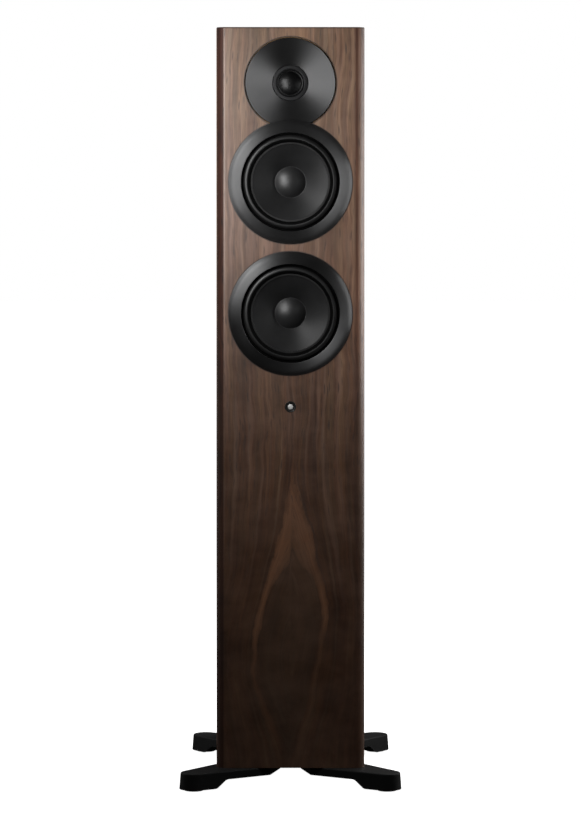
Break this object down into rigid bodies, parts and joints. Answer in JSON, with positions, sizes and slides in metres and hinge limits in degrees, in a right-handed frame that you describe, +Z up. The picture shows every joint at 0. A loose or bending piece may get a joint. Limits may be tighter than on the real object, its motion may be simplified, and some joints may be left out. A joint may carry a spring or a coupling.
{
  "type": "floorstanding loudspeaker",
  "caption": "Slim floorstanding loudspeaker: walnut-veneered cabinet, dome tweeter over woofers with raised trim rings, rear port and binding posts, outrigger feet.",
  "frame": {"origin": "on the floor, centre of the footprint of the feet", "axes": "+Z up, drivers face -Y, +X to the right as seen from in front"},
  "size_m": [0.2694, 0.3304, 0.926],
  "materials": {
    "walnut": "satin lacquered walnut veneer",
    "mdf": "raw fibreboard",
    "foam": "open-cell damping foam",
    "badge": "dark disc with a polished pip",
    "basket": "matt black die-cast aluminium",
    "trim": "satin black",
    "surround": "matt black rubber",
    "cone": "satin black moulded polymer",
    "coil": "enamelled winding wire on a former",
    "spider": "impregnated cloth",
    "magnet": "ferrite",
    "steel": "zinc-plated steel",
    "screws": "black oxide",
    "gasket": "closed-cell gasket",
    "faceplate": "satin black aluminium",
    "dome_ring": "dark grey anodised",
    "dome": "coated soft dome",
    "plastic": "moulded black",
    "posts": "plated metal",
    "red": "red moulding",
    "black": "black moulding",
    "board": "circuit board",
    "inductors": "copper wire on nylon formers",
    "capacitors": "film capacitors and resistors",
    "wiring": "insulated wire",
    "foot": "satin black casting",
    "glide": "rubber"
  },
  "bodies": {
    "cabinet": {"badge": "badge", "bottom_panel": "mdf", "crossover_board": "board", "crossover_capacitors": "capacitors", "crossover_inductors": "inductors", "damping_foam": "foam", "driver_gaskets": "gasket", "driver_screws": "screws", "foot_screws": "screws", "front_baffle": "mdf", "front_left_foot": "foot", "front_right_foot": "foot", "left_side_panel": "mdf", "lower_woofer_basket": "basket", "lower_woofer_magnet": "magnet", "lower_woofer_motor_steel": "steel", "lower_woofer_spider": "spider", "lower_woofer_surround": "surround", "lower_woofer_trim_ring": "trim", "port_tube": "plastic", "post_studs": "posts", "rear_left_foot": "foot", "rear_panel": "mdf", "rear_right_foot": "foot", "right_side_panel": "mdf", "terminal_cup": "plastic", "terminal_screws": "screws", "top_panel": "mdf", "tweeter_dome_ring": "dome_ring", "tweeter_faceplate": "faceplate", "tweeter_magnet": "magnet", "tweeter_motor_steel": "steel", "tweeter_rear_chamber": "plastic", "upper_woofer_basket": "basket", "upper_woofer_magnet": "magnet", "upper_woofer_motor_steel": "steel", "upper_woofer_spider": "spider", "upper_woofer_surround": "surround", "upper_woofer_trim_ring": "trim", "walnut_veneer": "walnut", "window_braces": "mdf", "wiring": "wiring"},
    "upper_woofer_moving": {"upper_woofer_cone": "cone", "upper_woofer_voice_coil": "coil"},
    "lower_woofer_moving": {"lower_woofer_cone": "cone", "lower_woofer_voice_coil": "coil"},
    "tweeter_moving": {"tweeter_dome": "dome", "tweeter_voice_coil": "coil"},
    "red_post_washer_body": {"red_post_washer": "posts"},
    "red_post_knob_body": {"red_post_knob": "red"},
    "black_post_washer_body": {"black_post_washer": "posts"},
    "black_post_knob_body": {"black_post_knob": "black"},
    "front_left_glide_body": {"front_left_glide": "glide"},
    "front_left_stud_body": {"front_left_level_stud": "steel"},
    "front_right_glide_body": {"front_right_glide": "glide"},
    "front_right_stud_body": {"front_right_level_stud": "steel"},
    "rear_left_glide_body": {"rear_left_glide": "glide"},
    "rear_left_stud_body": {"rear_left_level_stud": "steel"},
    "rear_right_glide_body": {"rear_right_glide": "glide"},
    "rear_right_stud_body": {"rear_right_level_stud": "steel"}
  },
  "joints": [
    {"name": "upper_woofer_travel", "type": "slide", "parent": "cabinet", "child": "upper_woofer_moving", "axis": [0, -1, 0], "range_m": [-0.005, 0.005], "stiffness_N_per_m": 1000, "deforming": ["upper_woofer_surround", "upper_woofer_spider"]},
    {"name": "lower_woofer_travel", "type": "slide", "parent": "cabinet", "child": "lower_woofer_moving", "axis": [0, -1, 0], "range_m": [-0.005, 0.005], "stiffness_N_per_m": 1000, "deforming": ["lower_woofer_surround", "lower_woofer_spider"]},
    {"name": "tweeter_travel", "type": "slide", "parent": "cabinet", "child": "tweeter_moving", "axis": [0, -1, 0], "range_m": [-0.0004, 0.0004], "stiffness_N_per_m": 1500, "deforming": ["tweeter_dome"]},
    {"name": "red_knob_lift", "type": "slide", "parent": "cabinet", "child": "red_post_washer_body", "axis": [0, 1, 0], "range_m": [0, 0.006]},
    {"name": "red_knob_turn", "type": "hinge", "parent": "red_post_washer_body", "child": "red_post_knob_body", "pos_m": [-0.019, 0.1365, 0.132], "axis": [0, 1, 0], "range_deg": [0, 2160]},
    {"name": "black_knob_lift", "type": "slide", "parent": "cabinet", "child": "black_post_washer_body", "axis": [0, 1, 0], "range_m": [0, 0.006]},
    {"name": "black_knob_turn", "type": "hinge", "parent": "black_post_washer_body", "child": "black_post_knob_body", "pos_m": [0.019, 0.1365, 0.132], "axis": [0, 1, 0], "range_deg": [0, 2160]},
    {"name": "front_left_level_lift", "type": "slide", "parent": "cabinet", "child": "front_left_glide_body", "axis": [0, 0, -1], "range_m": [0, 0.0075]},
    {"name": "front_left_level_turn", "type": "hinge", "parent": "front_left_glide_body", "child": "front_left_stud_body", "pos_m": [-0.117, -0.1475, 0.01], "axis": [0, 0, -1], "range_deg": [0, 2160]},
    {"name": "front_right_level_lift", "type": "slide", "parent": "cabinet", "child": "front_right_glide_body", "axis": [0, 0, -1], "range_m": [0, 0.0075]},
    {"name": "front_right_level_turn", "type": "hinge", "parent": "front_right_glide_body", "child": "front_right_stud_body", "pos_m": [0.117, -0.1475, 0.01], "axis": [0, 0, -1], "range_deg": [0, 2160]},
    {"name": "rear_left_level_lift", "type": "slide", "parent": "cabinet", "child": "rear_left_glide_body", "axis": [0, 0, -1], "range_m": [0, 0.0075]},
    {"name": "rear_left_level_turn", "type": "hinge", "parent": "rear_left_glide_body", "child": "rear_left_stud_body", "pos_m": [-0.1105, 0.1475, 0.01], "axis": [0, 0, -1], "range_deg": [0, 2160]},
    {"name": "rear_right_level_lift", "type": "slide", "parent": "cabinet", "child": "rear_right_glide_body", "axis": [0, 0, -1], "range_m": [0, 0.0075]},
    {"name": "rear_right_level_turn", "type": "hinge", "parent": "rear_right_glide_body", "child": "rear_right_stud_body", "pos_m": [0.1105, 0.1475, 0.01], "axis": [0, 0, -1], "range_deg": [0, 2160]}
  ],
  "couplings": [
    {"joint": "red_knob_turn", "follows": "red_knob_lift", "rad_per_m": 6283.2},
    {"joint": "black_knob_turn", "follows": "black_knob_lift", "rad_per_m": 6283.2},
    {"joint": "front_left_level_turn", "follows": "front_left_level_lift", "rad_per_m": 5026.5},
    {"joint": "front_right_level_turn", "follows": "front_right_level_lift", "rad_per_m": 5026.5},
    {"joint": "rear_left_level_turn", "follows": "rear_left_level_lift", "rad_per_m": 5026.5},
    {"joint": "rear_right_level_turn", "follows": "rear_right_level_lift", "rad_per_m": 5026.5}
  ]
}
